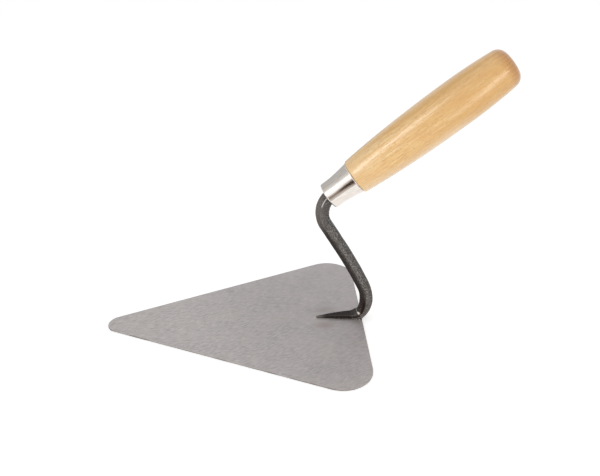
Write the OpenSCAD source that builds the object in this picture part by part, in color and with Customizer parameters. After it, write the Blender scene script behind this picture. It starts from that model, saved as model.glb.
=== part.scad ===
// Brick trowel: a triangular steel blade, a forged swan-neck shank whose pointed foot is welded on the blade,
// and a turned beech handle with a drawn steel ferrule.
// Frame: X runs along the blade towards its tip, Z is up, and the blade's flat underside is on Z = 0.
// The origin is on the underside, halfway between the blade's straight rear edge and its tip.
// The trowel is symmetrical about the plane Y = 0, in which the neck is bent.

/* [Blade] */
// Length of the blade from its straight rear edge to its tip
blade_length = 180; // [150:1:220]
// Thickness of the blade's sheet
blade_t = 1.2; // [0.8:0.1:2.5]
// Angle between the centre line and each long side
blade_side_angle = 25.3; // [20:0.1:30]
// Radius of the two rear corners
blade_corner_r = 19.9; // [4:0.1:30]
// Radius of the tip
blade_tip_r = 9.4; // [2:0.1:14]

/* [Foot] */
// Length of the pointed foot on the blade, from the blade's rear edge
foot_length = 32.5; // [26:0.5:50]
// Height of the foot where the neck runs out into it
foot_root_h = 3.1; // [2.5:0.1:5]
// Height of the foot at its point
foot_point_h = 0.9; // [0.5:0.1:2.4]
// Distance from the blade's rear edge at which the foot starts to narrow
foot_taper_start = 2.7; // [0:0.1:8]
// Width of the foot at its point
foot_point_w = 1.2; // [0.6:0.1:3]
// Radius of the hollow between the neck and the top of the foot
foot_hollow_r = 5.6; // [5:0.1:10]

/* [Neck] */
// Thickness of the neck from its front face to its rear face
neck_t = 9; // [6:0.1:11]
// Width of the neck across its two side faces
neck_w = 8.4; // [6:0.1:11]
// Width of the narrow face on the front of the neck
neck_front_face = 1.8; // [1:0.1:4]
// Width of the face on the back of the neck
neck_rear_face = 3.8; // [1:0.1:4.5]
// How far each chamfer runs back from the front face or the rear face
neck_chamfer = 2.95; // [1:0.05:3.2]
// Rounding of the neck's ridges
neck_ridge_r = 0.5; // [0.1:0.1:0.8]
// Height above the blade at which the lower bend stands upright
heel_h = 14.4; // [11:0.1:18]
// How far the middle of the neck stands behind the blade's rear edge at that height
heel_back = 2.8; // [0:0.1:5]
// Radius of the back of the heel, where it turns in under the neck
heel_r = 18.5; // [18.5:0.5:30]
// Radius of the lower bend, to the middle of the neck
lower_bend_r = 27; // [20:0.5:40]
// Slope of the neck, from the blade, at the top of the lower bend
lower_slope = 65; // [55:1:75]
// Radius of the slight bow above the lower bend
bow_r = 350; // [150:10:600]
// Slope of the straight stretch of the neck, from the blade
neck_slope = 59; // [45:1:65]
// Length of the straight stretch of the neck
neck_straight = 18.3; // [5:0.1:40]
// Radius of the upper bend, to the middle of the neck
upper_bend_r = 16.8; // [12:0.1:25]
// Slope of the handle, from the blade
handle_slope = 37.6; // [20:0.1:60]

/* [Tang] */
// Length of the tang inside the handle, from the end of the upper bend
tang_length = 78; // [40:1:95]
// Side of the square tang at its root
tang_root_w = 6.2; // [4:0.1:7]
// Side of the square tang at its end
tang_end_w = 3; // [2:0.1:4]
// Length over which the neck is drawn down to the square tang
tang_shoulder_length = 6; // [3:0.5:12]

/* [Weld] */
// How far the seam on each side of the foot ends short of the foot's point
weld_end = 11; // [5:0.5:15]
// Distance from the blade's rear edge to the start of each seam
weld_start = 0.3; // [0:0.1:6]
// Size of the seam, up the foot and out on the blade
weld_leg = 0.8; // [0.5:0.05:1]
// Distance between the ripples of the seam
weld_ripple = 1.6; // [1:0.1:3]

/* [Ferrule] */
// Length of the ferrule
ferrule_length = 21.5; // [14:0.5:35]
// Thickness of the ferrule's sheet
ferrule_wall = 0.9; // [0.5:0.1:1.5]
// Outer radius of the collar at the ferrule's small end
ferrule_collar_r = 9.2; // [7.5:0.1:11]
// Length of that collar
ferrule_collar_length = 4.5; // [2:0.1:8]
// Outer radius of the ferrule where it meets the wood
ferrule_mouth_r = 11.1; // [9.5:0.05:14]
// Rounding of the edge of the small end
ferrule_edge_r = 1; // [0.4:0.1:1.5]
// Radius of the hole in the small end that the neck passes through
ferrule_hole_r = 6.4; // [5.6:0.1:7]
// How far the upper bend ends inside the ferrule
bend_in_ferrule = 3.1; // [0:0.1:6]

/* [Handle] */
// Length of the wood that shows, from the ferrule to the butt's edge
grip_length = 117.2; // [90:0.1:150]
// Radius of the wood next to the ferrule
grip_front_r = 11.95; // [10:0.05:15]
// Radius of the thickest place of the grip
grip_belly_r = 15; // [12:0.05:19]
// Distance from the ferrule to the thickest place
grip_belly_at = 68.5; // [40:0.5:85]
// Radius that the sides of the grip would reach at the butt
grip_butt_r = 12.3; // [10:0.1:16]
// Rounding of the edge of the butt
butt_edge_r = 7; // [2:0.1:9]
// How far the middle of the butt's end stands out
butt_dome = 0.7; // [0.2:0.1:3]
// Rounding of the wood's edge against the ferrule
grip_edge_r = 0.7; // [0.2:0.1:1]

/* [Fits] */
// Clearance between the wooden spigot and the inside of the ferrule
spigot_gap = 0.1; // [0.05:0.05:0.3]
// Clearance between the corners of the tang and its hole in the wood
tang_gap = 0.1; // [0.05:0.05:0.3]
// Clearance between the neck and the mouth of the hole in the wood
mouth_gap = 0.5; // [0.3:0.1:1]
// Space left in the hole beyond the end of the tang
tang_end_gap = 0.6; // [0.3:0.1:3]

/* [Hidden] */

// Angles between the rings of a bend, and sides of a full circle
bend_step = 6;
round_fn = 96;
// Sides of each rounded corner of the blade
corner_steps = 20;
// Exponents of the ferrule's flare and of the grip's swell before and behind its thickest place
flare_power = 1.6;
front_power = 2.1;
rear_power = 2.5;

// ---- Points and directions in the plane of the neck, as [along, up] ----

// Direction of a slope, and the direction square to it on its left
function dir(slope) = [cos(slope), sin(slope)];
function left(slope) = [-sin(slope), cos(slope)];
// Point reached from p along a bend of signed radius r, which turns the slope by signed angle turn
function bend(p, slope, r, turn) = p + r * (left(slope) - left(slope + turn));
function blend(a, b, t) = a + (b - a) * t;
function steps(turn) = max(1, ceil(abs(turn) / bend_step));

// Rear edge of the blade, at the height of its upper face
rear_edge = [-blade_length / 2, blade_t];

// The middle line of the neck, upwards from the place where the lower bend stands upright
upright = rear_edge + [-heel_back, heel_h];
lower_top = bend(upright, 90, -lower_bend_r, lower_slope - 90);
bow_top = bend(lower_top, lower_slope, -bow_r, neck_slope - lower_slope);
straight_top = bow_top + neck_straight * dir(neck_slope);
tang_slope = 180 - handle_slope;
upper_turn = tang_slope - neck_slope;
tang_root = bend(straight_top, neck_slope, upper_bend_r, upper_turn);

// The handle's axis leaves the ferrule's small end along the tang
axis_dir = dir(tang_slope);
ferrule_end = tang_root - bend_in_ferrule * axis_dir;

// The front line of the heel: down round the lower bend, then round the hollow until it is level on the foot
front_bend_r = lower_bend_r - neck_t / 2;
bend_centre = upright - lower_bend_r * left(90);
foot_level = blade_t + foot_root_h;
hollow_start = acos((foot_level + foot_hollow_r - bend_centre[1]) / (front_bend_r - foot_hollow_r));
hollow_centre = bend_centre + (front_bend_r - foot_hollow_r) * left(hollow_start);
hollow_end = hollow_centre + foot_hollow_r * left(180);
// The rear line: round the heel to the blade, which it reaches where the front line has this slope
heel_centre = upright + (neck_t / 2 - heel_r) * left(90);
heel_turn = asin(heel_h / heel_r);
heel_end = heel_centre + heel_r * left(90 + heel_turn);
heel_end_slope = 130;

// Half the width of the foot at the place x on the blade
foot_w_rate = (neck_w - foot_point_w) / 2 / (foot_length - foot_taper_start);
function foot_half(x) = min(neck_w / 2, foot_point_w / 2 + (rear_edge[0] + foot_length - x) * foot_w_rate);

// ---- Rings of the shank ----

// A ring is [front point, rear point, half width, half front face, front chamfer, half rear face,
// rear chamfer, ridge rounding]; the chamfers are measured from the front and from the rear
front_face = neck_front_face / 2;
rear_face = neck_rear_face / 2;
function neck_ring(p, slope, round = neck_ridge_r) =
    [p - neck_t / 2 * left(slope), p + neck_t / 2 * left(slope),
     neck_w / 2, front_face, neck_chamfer, rear_face, neck_chamfer, round];

// Ring of the foot, w wide to each side: a flat top, upright flanks and small broken edges, which run down
// and up the flanks by these parts of the foot's height
top_edge = 0.25;
top_drop = 0.3;
sole_edge = 0.05;
sole_rise = 0.1;
foot_ridge_r = 0.15;
function foot_ring(front, rear, w) =
    let (h = norm(front - rear))
    [front, rear, w, w - min(top_edge, w / 2), h * top_drop, w - sole_edge, h * sole_rise, foot_ridge_r];

// Ring of the foot at the place x on the blade. Over its last stretch the point is rounded off in plan,
// down to this part of its width
foot_point = rear_edge + [foot_length, 0];
point_round = 1.2;
point_blunt = 0.35;
function spike_ring(x) =
    let (t = (x - hollow_end[0]) / (foot_point[0] - hollow_end[0]),
         left_over = min(1, (foot_point[0] - x) / point_round),
         narrowing = blend(point_blunt, 1, sqrt(1 - pow(1 - left_over, 2))))
    foot_ring([x, foot_level - (foot_root_h - foot_point_h) * t * t], [x, blade_t], foot_half(x) * narrowing);

// Ring of the heel at slope a of the front line. The bar spreads out into the foot: its front face becomes
// the foot's top, and its front chamfers become the foot's flanks
spread_start = 100;
front_spread_end = 142;
rear_spread_end = 160;
// Most of the heel's thickness that its front and its rear chamfers may take
front_share = 0.6;
rear_share = 0.35;
function ramp(a, from, to) = min(1, max(0, (a - from) / (to - from)));
function front_at(a) = a < hollow_start ? bend_centre + front_bend_r * left(a)
    : hollow_centre + foot_hollow_r * left(a);
function rear_at(a) = a < heel_end_slope
    ? heel_centre + heel_r * left(90 + heel_turn * (a - 90) / (heel_end_slope - 90))
    : blend(heel_end, [hollow_end[0], blade_t], ramp(a, heel_end_slope, 180));
function heel_ring(a) =
    let (front = front_at(a), rear = rear_at(a), h = norm(front - rear),
         foot = foot_ring(front, rear, foot_half(rear[0])), t = ramp(a, spread_start, 180))
    [front, rear,
     blend(neck_w / 2, foot[2], t),
     blend(front_face, foot[3], ramp(a, spread_start, front_spread_end)),
     min(neck_chamfer, h * front_share),
     blend(rear_face, foot[5], ramp(a, spread_start, rear_spread_end)),
     min(blend(neck_chamfer, foot[6], t), h * rear_share),
     blend(neck_ridge_r, foot_ridge_r, t)];

// Ring of the square tang round point p, with its corners broken by this part of its side
corner_break = 0.06;
tang_ridge_r = 0.1;
function square_ring(p, w) =
    let (c = w * corner_break)
    [p - w / 2 * left(tang_slope), p + w / 2 * left(tang_slope), w / 2,
     w / 2 - c, c, w / 2 - c, c, tang_ridge_r];
tang_end = tang_root + tang_length * axis_dir;
tang_square = tang_root + tang_shoulder_length * axis_dir;

spike_steps = 6;
heel_steps = steps(90);
lower_steps = steps(90 - lower_slope);
bow_steps = 4;
upper_steps = steps(upper_turn);
point_stops = [0, 0.25, 0.6];
shank_rings = concat(
    [for (k = point_stops) spike_ring(foot_point[0] - point_round * k)],
    [for (i = [0 : spike_steps - 1])
        spike_ring(blend(foot_point[0] - point_round, hollow_end[0], i / spike_steps))],
    [for (i = [0 : heel_steps - 1]) heel_ring(blend(180, 90, i / heel_steps))],
    [for (i = [0 : lower_steps])
        let (turn = (lower_slope - 90) * i / lower_steps)
        neck_ring(bend(upright, 90, -lower_bend_r, turn), 90 + turn)],
    [for (i = [1 : bow_steps])
        let (turn = (neck_slope - lower_slope) * i / bow_steps)
        neck_ring(bend(lower_top, lower_slope, -bow_r, turn), lower_slope + turn)],
    [for (i = [0 : upper_steps])
        let (turn = upper_turn * i / upper_steps)
        neck_ring(bend(straight_top, neck_slope, upper_bend_r, turn), neck_slope + turn,
            blend(neck_ridge_r, 2 * neck_ridge_r, i / upper_steps))],
    [square_ring(tang_square, tang_root_w), square_ring(tang_end, tang_end_w)]);

// The eight corners of a ring as [from the front, across]
function corners(r) =
    let (t = norm(r[1] - r[0]))
    [[0, r[3]], [r[4], r[2]], [t - r[6], r[2]], [t, r[5]],
     [t, -r[5]], [t - r[6], -r[2]], [r[4], -r[2]], [0, -r[3]]];
// Each corner becomes three points that round it off, over at most this part of each side next to it
side_share = 0.4;
function rounded(c, round) = [for (i = [0 : 7])
    let (a = c[(i + 7) % 8], b = c[(i + 1) % 8], v = c[i],
         d = min(round, side_share * norm(a - v), side_share * norm(b - v)),
         p = v + d * (a - v) / norm(a - v), q = v + d * (b - v) / norm(b - v))
    each [p, (p + q) / 4 + v / 2, q]];
function ring_points(r) =
    let (along = (r[1] - r[0]) / norm(r[1] - r[0]))
    [for (q = rounded(corners(r), r[7]))
        let (p = r[0] + q[0] * along) [p[0], q[1], p[1]]];

// A closed skin over rings that all have n points
module skin(rings, n) {
    last = len(rings) - 1;
    points = [for (r = rings) each r];
    side = [for (i = [0 : last - 1], j = [0 : n - 1])
        let (a = i * n + j, b = i * n + (j + 1) % n)
        each [[a, a + n, b], [b, a + n, b + n]]];
    caps = [[for (j = [0 : n - 1]) j], [for (j = [n - 1 : -1 : 0]) last * n + j]];
    polyhedron(points, concat(side, caps), convexity = 6);
}

// ---- Weld ----

// The seam's face is a hollow through two points, which lie this far out and up as parts of its size
weld_out = 0.62;
weld_up = 0.24;
// Height of the ripples, and the size that the seam fades to over this part of its length at both ends
ripple_height = 0.15;
weld_fade = 0.25;
fade_share = 0.125;
ripple_steps = 4;
weld_length = foot_length - weld_end - weld_start;
weld_steps = ceil(weld_length / weld_ripple) * ripple_steps;
// Ring of the seam, t of the way along it
function weld_ring(t) =
    let (x = rear_edge[0] + weld_start + t * weld_length, y = foot_half(x),
         fade = blend(weld_fade, 1, min(1, min(t, 1 - t) / fade_share)),
         leg = weld_leg * fade * (1 + ripple_height * sin(360 * t * weld_length / weld_ripple)))
    [[x, y, blade_t], [x, y + leg, blade_t], [x, y + weld_out * leg, blade_t + weld_up * leg],
     [x, y + weld_up * leg, blade_t + weld_out * leg], [x, y, blade_t + leg]];

// ---- Ferrule and handle, as [radius, distance from the ferrule's small end] ----

// Outer radius of the ferrule
function ferrule_r(s) = s <= ferrule_collar_length ? ferrule_collar_r
    : ferrule_collar_r + (ferrule_mouth_r - ferrule_collar_r)
        * pow((s - ferrule_collar_length) / (ferrule_length - ferrule_collar_length), flare_power);
flare_steps = 10;
flare = [for (i = [0 : flare_steps]) blend(ferrule_collar_length, ferrule_length, i / flare_steps)];
edge_steps = 5;
function quarter(centre, r, from, to, n) =
    [for (i = [0 : n]) let (a = blend(from, to, i / n)) centre + r * [cos(a), sin(a)]];

// Radius of the grip at distance s
belly_s = ferrule_length + grip_belly_at;
butt_s = ferrule_length + grip_length;
function grip_r(s) = s < belly_s
    ? grip_belly_r - (grip_belly_r - grip_front_r) * pow((belly_s - s) / grip_belly_at, front_power)
    : grip_belly_r - (grip_belly_r - grip_butt_r) * pow((s - belly_s) / (butt_s - belly_s), rear_power);
grip_steps = 32;
butt_steps = 10;
dome_steps = 4;
// The butt's rounding starts where the side already leans in by this angle, taken over 1 mm
lean_half = 0.5;
butt_lean = atan(grip_r(butt_s - butt_edge_r - lean_half) - grip_r(butt_s - butt_edge_r + lean_half));
grip_end_s = butt_s - butt_edge_r * (1 - sin(butt_lean));
butt_centre = [grip_r(grip_end_s) - butt_edge_r * cos(butt_lean), butt_s - butt_edge_r];

// The hole for the tang: a straight mouth for the neck, whose bend stands off the axis there, then a taper
// along the tang's corners
bore_start = ferrule_wall + spigot_gap;
neck_reach = max(norm([max(front_face, rear_face), neck_t / 2]),
    norm([neck_w / 2, neck_t / 2 - neck_chamfer]));
bend_off_axis = upper_bend_r * (1 - cos(asin(max(0, bend_in_ferrule - bore_start) / upper_bend_r)));
bore_mouth_r = neck_reach + bend_off_axis + mouth_gap;
square_s = bend_in_ferrule + tang_shoulder_length;
tang_end_s = bend_in_ferrule + tang_length;
bore_square_r = tang_root_w * sqrt(0.5) + tang_gap;
bore_end_r = tang_end_w * sqrt(0.5) + tang_gap;
bore_end_s = tang_end_s + tang_end_gap;

// Stands a turned piece on the handle's axis
module on_axis() {
    translate([ferrule_end[0], 0, ferrule_end[1]]) rotate([0, handle_slope - 90, 0]) children();
}

module blade() {
    // Distance of the point where the long sides would meet, from the rear edge
    sharp_l = blade_length + blade_tip_r * (1 / sin(blade_side_angle) - 1);
    corner_y = (sharp_l - blade_corner_r) * tan(blade_side_angle) - blade_corner_r / cos(blade_side_angle);
    corner = [blade_corner_r, corner_y];
    tip = [blade_length - blade_tip_r, 0];
    // Each rounding is drawn from the direction square to one side to the direction square to the next
    out = 90 - blade_side_angle;
    half = concat(quarter(corner, blade_corner_r, 180, out, corner_steps),
        quarter(tip, blade_tip_r, out, 0, corner_steps));
    color("darkgray") translate([rear_edge[0], 0, 0]) linear_extrude(blade_t)
        polygon(concat(half, [for (i = [len(half) - 2 : -1 : 0]) [half[i][0], -half[i][1]]]));
}

module shank() {
    color("dimgray") skin([for (r = shank_rings) ring_points(r)], 24);
}

module weld() {
    rings = [for (i = [0 : weld_steps]) weld_ring(i / weld_steps)];
    color("silver") {
        skin(rings, 5);
        mirror([0, 1, 0]) skin(rings, 5);
    }
}

module ferrule() {
    edge_centre = [ferrule_collar_r - ferrule_edge_r, ferrule_edge_r];
    outside = concat([[ferrule_hole_r, 0]], quarter(edge_centre, ferrule_edge_r, -90, 0, edge_steps),
        [for (s = flare) [ferrule_r(s), s]]);
    inside = [for (i = [flare_steps : -1 : 0]) [ferrule_r(flare[i]) - ferrule_wall, flare[i]]];
    color("lightgray") on_axis() rotate_extrude($fn = round_fn)
        polygon(concat(outside, inside,
            [[ferrule_collar_r - ferrule_wall, ferrule_wall], [ferrule_hole_r, ferrule_wall]]));
}

module handle() {
    spigot = [for (s = flare) [ferrule_r(s) - ferrule_wall - spigot_gap, s]];
    shoulder_s = ferrule_length + spigot_gap;
    bore = [[0, bore_end_s], [bore_end_r, tang_end_s], [bore_square_r, square_s],
        [bore_mouth_r, bend_in_ferrule], [bore_mouth_r, bore_start]];
    edge = quarter([grip_front_r - grip_edge_r, shoulder_s + grip_edge_r], grip_edge_r, -90, 0, edge_steps);
    side = [for (i = [0 : grip_steps])
        let (s = blend(shoulder_s + grip_edge_r, grip_end_s, i / grip_steps)) [grip_r(s), s]];
    butt = quarter(butt_centre, butt_edge_r, butt_lean, 90, butt_steps);
    dome = [for (i = [1 : dome_steps])
        let (r = butt_centre[0] * (1 - i / dome_steps))
        [r, butt_s + butt_dome * (1 - pow(r / butt_centre[0], 2))]];
    color("burlywood") on_axis() rotate_extrude($fn = round_fn)
        polygon(concat(bore, [[spigot[0][0], bore_start]], spigot,
            [[spigot[flare_steps][0], shoulder_s]], edge,
            [for (i = [1 : grip_steps - 1]) side[i]], butt, dome));
}

blade();
shank();
weld();
ferrule();
handle();
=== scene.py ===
# %% [markdown]
# # A brick trowel
#
# A bricklayer's trowel is five pieces: a ground steel blade, a forged swan-neck shank whose pointed foot
# lies on the blade, the weld between the two, a nickel-plated ferrule and a turned beech grip. The CAD model
# has already settled where each of them is. This lesson loads it as a fixed frame and makes a finer piece in
# the place of each CAD solid, in metres and in the same frame, and then gives every piece its finish.

# %% Load the frame and keep its size
import math
import random

import bmesh
import bpy
import numpy as np
from mathutils import Matrix, Vector, noise


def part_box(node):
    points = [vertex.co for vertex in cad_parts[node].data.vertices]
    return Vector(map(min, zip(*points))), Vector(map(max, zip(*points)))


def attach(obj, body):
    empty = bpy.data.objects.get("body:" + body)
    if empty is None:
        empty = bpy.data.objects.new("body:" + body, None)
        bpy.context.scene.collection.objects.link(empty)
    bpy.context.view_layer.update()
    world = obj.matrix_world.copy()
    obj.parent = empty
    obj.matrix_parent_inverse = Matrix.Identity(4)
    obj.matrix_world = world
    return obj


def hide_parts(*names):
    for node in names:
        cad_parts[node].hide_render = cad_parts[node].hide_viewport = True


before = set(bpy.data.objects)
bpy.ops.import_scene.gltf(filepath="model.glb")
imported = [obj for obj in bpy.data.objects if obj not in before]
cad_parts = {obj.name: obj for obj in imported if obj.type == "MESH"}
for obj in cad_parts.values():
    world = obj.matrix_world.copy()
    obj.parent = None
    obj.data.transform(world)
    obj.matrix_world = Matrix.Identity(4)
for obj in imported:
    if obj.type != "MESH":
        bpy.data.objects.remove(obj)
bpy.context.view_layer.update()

# %% [markdown]
# ## Measures
#
# The neck is bent in the plane Y = 0, so most of its plan is a matter of X and Z. A point of that plan is a
# Vector with Y = 0. A slope is the angle between the bar and the blade, and `left_of` gives the direction
# square to it. The places that the pieces share come from the CAD nodes' own boxes.

# %% Directions and places that the pieces share
MM = 0.001
HANDLE_RISE = 37.6


def along(slope):
    """The direction of a slope in the neck's plane."""
    return Vector((math.cos(slope), 0, math.sin(slope)))


def left_of(slope):
    """The direction square to a slope, on its left."""
    return Vector((-math.sin(slope), 0, math.cos(slope)))


def between(a, b, share):
    return a + (b - a) * share


blade_low, blade_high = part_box("blade")
REAR = blade_low.x
SHEET = blade_high.z
HANDLE_SLOPE = math.radians(180 - HANDLE_RISE)
AXIS = along(HANDLE_SLOPE)
print("the blade is", round((blade_high.x - REAR) / MM, 1), "mm long and", round(SHEET / MM, 2), "mm thick")

# %% Where the ferrule starts: the middle of the CAD ferrule's small end
ferrule_points = [v.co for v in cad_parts["ferrule"].data.vertices]
first = min(p.dot(AXIS) for p in ferrule_points)
small_end = [p for p in ferrule_points if p.dot(AXIS) < first + 0.01 * MM]
FERRULE_START = sum(small_end, Vector()) / len(small_end)
FERRULE_START.y = 0
FERRULE_START += AXIS * (first - FERRULE_START.dot(AXIS))
HANDLE_TURN = HANDLE_SLOPE - math.pi / 2
HANDLE_PLACE = Matrix.Translation(FERRULE_START) @ Matrix.Rotation(-HANDLE_TURN, 4, "Y")
print("the ferrule starts at", [round(c / MM, 2) for c in FERRULE_START], "mm")

# %% [markdown]
# ## Camera
#
# The trowel is seen from its left side, from a little above, at a short distance, so the tip of the blade
# points to the left of the frame and the grip rises to the right.

# %% Camera
camera_data = bpy.data.cameras.new("camera")
camera_data.lens = 39.6
camera_data.sensor_width = 36
camera_data.clip_start = 0.01
camera = bpy.data.objects.new("camera", camera_data)
camera.location = (-0.031522, 0.395384, 0.266001)
camera.rotation_euler = [math.radians(angle) for angle in (63.10404, 0.47689, 177.59747)]
bpy.context.scene.collection.objects.link(camera)
bpy.context.scene.camera = camera
bpy.context.scene.view_settings.view_transform = "Standard"

# %% [markdown]
# ## Shader nodes by hand
#
# A finish is a small tree of nodes. A few helpers keep such a tree readable: one adds any node and joins or
# sets its sockets, and the others are short names for the nodes and settings that come up most.


# %% Helpers for node trees
def add(tree, kind, sockets=None, **settings):
    """Adds a shader node, with its settings made and its sockets joined or set."""
    made = tree.nodes.new("ShaderNode" + kind)
    for name, value in settings.items():
        setattr(made, name, value)
    for name, value in (sockets or {}).items():
        if isinstance(value, bpy.types.NodeSocket):
            tree.links.new(value, made.inputs[name])
        else:
            made.inputs[name].default_value = value
    return made


def tone(red, green, blue):
    """A colour as it is seen, each part from 0 to 255, made linear for a shader."""
    parts = [c / 255 for c in (red, green, blue)]
    return [c / 12.92 if c < 0.04045 else ((c + 0.055) / 1.055) ** 2.4 for c in parts] + [1]


def mix(tree, share, first_colour, second_colour, how="MIX"):
    """Two colours mixed, by a share from 0 to 1."""
    made = add(tree, "Mix", data_type="RGBA", blend_type=how)
    for socket, value in ((0, share), (6, first_colour), (7, second_colour)):
        if isinstance(value, bpy.types.NodeSocket):
            tree.links.new(value, made.inputs[socket])
        else:
            made.inputs[socket].default_value = value
    return made.outputs[2]


def sums(tree, operation, first_value, second_value=0.0):
    """One step of arithmetic on two values."""
    return add(tree, "Math", {0: first_value, 1: second_value}, operation=operation).outputs[0]


def product(tree, first_value, second_value):
    """Two values multiplied."""
    return sums(tree, "MULTIPLY", first_value, second_value)


def window(tree, value, low, high, dark=0.0, light=1.0):
    """A value spread so that low becomes dark and high becomes light, with nothing beyond them."""
    sockets = {"Value": value, "From Min": low, "From Max": high, "To Min": dark, "To Max": light}
    return add(tree, "MapRange", sockets, interpolation_type="SMOOTHSTEP").outputs[0]


# %% Helpers for patterns
def coordinates(tree, size, turn=(0, 0, 0), start=(0, 0, 0)):
    """Object coordinates, centred on start and turned, counted in pattern sizes instead of metres."""
    place = add(tree, "TexCoord").outputs["Object"]
    sockets = {"Vector": place, "Location": start, "Rotation": turn, "Scale": size}
    return add(tree, "Mapping", sockets, vector_type="TEXTURE").outputs[0]


def millimetres(tree, turn=(0, 0, 0), start=(0, 0, 0)):
    """The same coordinates in millimetres, taken apart into X, Y and Z."""
    return add(tree, "SeparateXYZ", {0: coordinates(tree, (MM, MM, MM), turn, start)}).outputs


def clouds(tree, place, detail=3.0, roughness=0.5):
    """Soft random values round 0.5."""
    sockets = {"Vector": place, "Scale": 1.0, "Detail": detail, "Roughness": roughness}
    return add(tree, "TexNoise", sockets).outputs[0]


def relief(tree, height, depth, strength):
    """A bump of a real depth in metres."""
    return add(tree, "Bump", {"Height": height, "Distance": depth, "Strength": strength}).outputs[0]


def new_finish(name):
    """An empty material, its node tree and its main shader."""
    material = bpy.data.materials.new(name)
    material.use_nodes = True
    return material, material.node_tree, material.node_tree.nodes["Principled BSDF"]


def wire(tree, shader, **sockets):
    """Joins sockets of the main shader, whose names have spaces where the words here have _."""
    for name, value in sockets.items():
        tree.links.new(value, shader.inputs[name.replace("_", " ")])


# %% [markdown]
# ## The studio
#
# The floor is a pale sheet. It is lit like everything else, so it keeps the soft shadow of the trowel, and a
# little light of its own, which only the camera and reflections see, brings it up to white. The world does
# the same: a plain soft light for surfaces, and white for whoever looks at it.


# %% Floor and world
def seen_directly(tree):
    """1 for a ray that looks at a thing, straight or in a reflection, and 0 for one that gathers light."""
    path = add(tree, "LightPath").outputs
    looks = sums(tree, "MAXIMUM", path["Is Camera Ray"], path["Is Glossy Ray"])
    return sums(tree, "MAXIMUM", looks, path["Is Transmission Ray"])


def stage_mesh(name, size, material, place, parts=(1, 1)):
    """A flat sheet of the studio, which isn't part of the trowel, cut into parts across and up."""
    sheet = bmesh.new()
    bmesh.ops.create_grid(sheet, x_segments=parts[0], y_segments=parts[1], size=0.5)
    bmesh.ops.scale(sheet, vec=(size[0], size[1], 1), verts=sheet.verts)
    bmesh.ops.transform(sheet, matrix=place, verts=sheet.verts)
    mesh = bpy.data.meshes.new(name)
    sheet.to_mesh(mesh)
    sheet.free()
    mesh.materials.append(material)
    made = bpy.data.objects.new(name, mesh)
    bpy.context.scene.collection.objects.link(made)
    return made


FLOOR_GLOW = 0.42
FLOOR_DROP = 0.2 * MM
floor_paint, tree, shader = new_finish("pale_floor")
shader.inputs["Base Color"].default_value = (0.8, 0.8, 0.8, 1)
shader.inputs["Roughness"].default_value = 1
shader.inputs["Specular IOR Level"].default_value = 0
shader.inputs["Emission Color"].default_value = (1, 1, 1, 1)
wire(tree, shader, Emission_Strength=product(tree, seen_directly(tree), FLOOR_GLOW))
stage_mesh("floor", (3, 3), floor_paint, Matrix.Translation((0, 0, -FLOOR_DROP)))

SOFT_LIGHT = 0.80
world = bpy.data.worlds.new("studio")
world.use_nodes = True
bpy.context.scene.world = world
tree = world.node_tree
light = sums(tree, "MAXIMUM", seen_directly(tree), SOFT_LIGHT)
tree.links.new(light, tree.nodes["Background"].inputs["Strength"])
tree.nodes["Background"].inputs["Color"].default_value = (1, 1, 1, 1)

# %% [markdown]
# Bright metal shows whatever stands round it, so a studio shapes its look with cards: white where the tube
# should shine, grey where it should turn grey, and a small card close by, with a dark band across it, for
# the streak that makes a tube look round. Each card carries its shades on its own points and is seen in
# reflections only. The softbox lights the scene, and two tall strips draw the highlights on the grip.


# %% Helpers for cards
FERRULE_MIDDLE = FERRULE_START + AXIS * 11 * MM
GRIP_MIDDLE = FERRULE_START + AXIS * 50 * MM
BUTT = FERRULE_START + AXIS * 115 * MM


def aimed(azimuth, elevation, distance, target, roll=0):
    """The place of a card that faces target, seen from there at an azimuth and an elevation in degrees."""
    turn, rise = math.radians(azimuth), math.radians(elevation)
    away = Vector((math.cos(turn) * math.cos(rise), math.sin(turn) * math.cos(rise), math.sin(rise)))
    facing = away.to_track_quat("Z", "Y").to_matrix().to_4x4()
    rolled = Matrix.Rotation(math.radians(roll), 4, "Z")
    return Matrix.Translation(target + away * distance) @ facing @ rolled


def card(name, place, size, rows, warmth=0.0):
    """A card that only reflections show. A row of shades runs from left to right, the lowest row first.

    Warmth takes some blue, and a little green, out of its darker shades.
    """
    paint = bpy.data.materials.new(name)
    paint.use_nodes = True
    paint.node_tree.nodes.clear()
    shade = add(paint.node_tree, "Attribute", attribute_name="shade", attribute_type="GEOMETRY")
    glow = add(paint.node_tree, "Emission", {"Color": shade.outputs["Color"], "Strength": 1})
    out = add(paint.node_tree, "OutputMaterial")
    paint.node_tree.links.new(glow.outputs[0], out.inputs["Surface"])
    made = stage_mesh(name, size, paint, place, (len(rows[0]) - 1, len(rows) - 1))
    shades = made.data.color_attributes.new("shade", "FLOAT_COLOR", "POINT")
    values = [value for row in rows for value in row]
    for point, value in zip(shades.data, values):
        point.color = (value, value ** (1 + 0.15 * warmth), value ** (1 + 0.25 * warmth), 1)
    made.visible_camera = False
    made.visible_diffuse = False
    made.visible_shadow = False
    made.visible_transmission = False


def plain(value):
    return [[value, value], [value, value]]


def graded(stops, width, parts):
    """The shades of a row, from stops that each give a place in millimetres from its middle and a shade."""
    places = [width * (i / parts - 0.5) for i in range(parts + 1)]
    return [float(value) for value in np.interp(places, *zip(*stops))]


# %% Softbox
softbox_data = bpy.data.lights.new("softbox", "AREA")
softbox_data.shape = "RECTANGLE"
softbox_data.size = 0.22
softbox_data.size_y = 0.62
softbox_data.energy = 3.0
softbox = bpy.data.objects.new("softbox", softbox_data)
softbox.matrix_world = aimed(101, 8, 1.0, GRIP_MIDDLE)
softbox.visible_glossy = False
bpy.context.scene.collection.objects.link(softbox)

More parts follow.
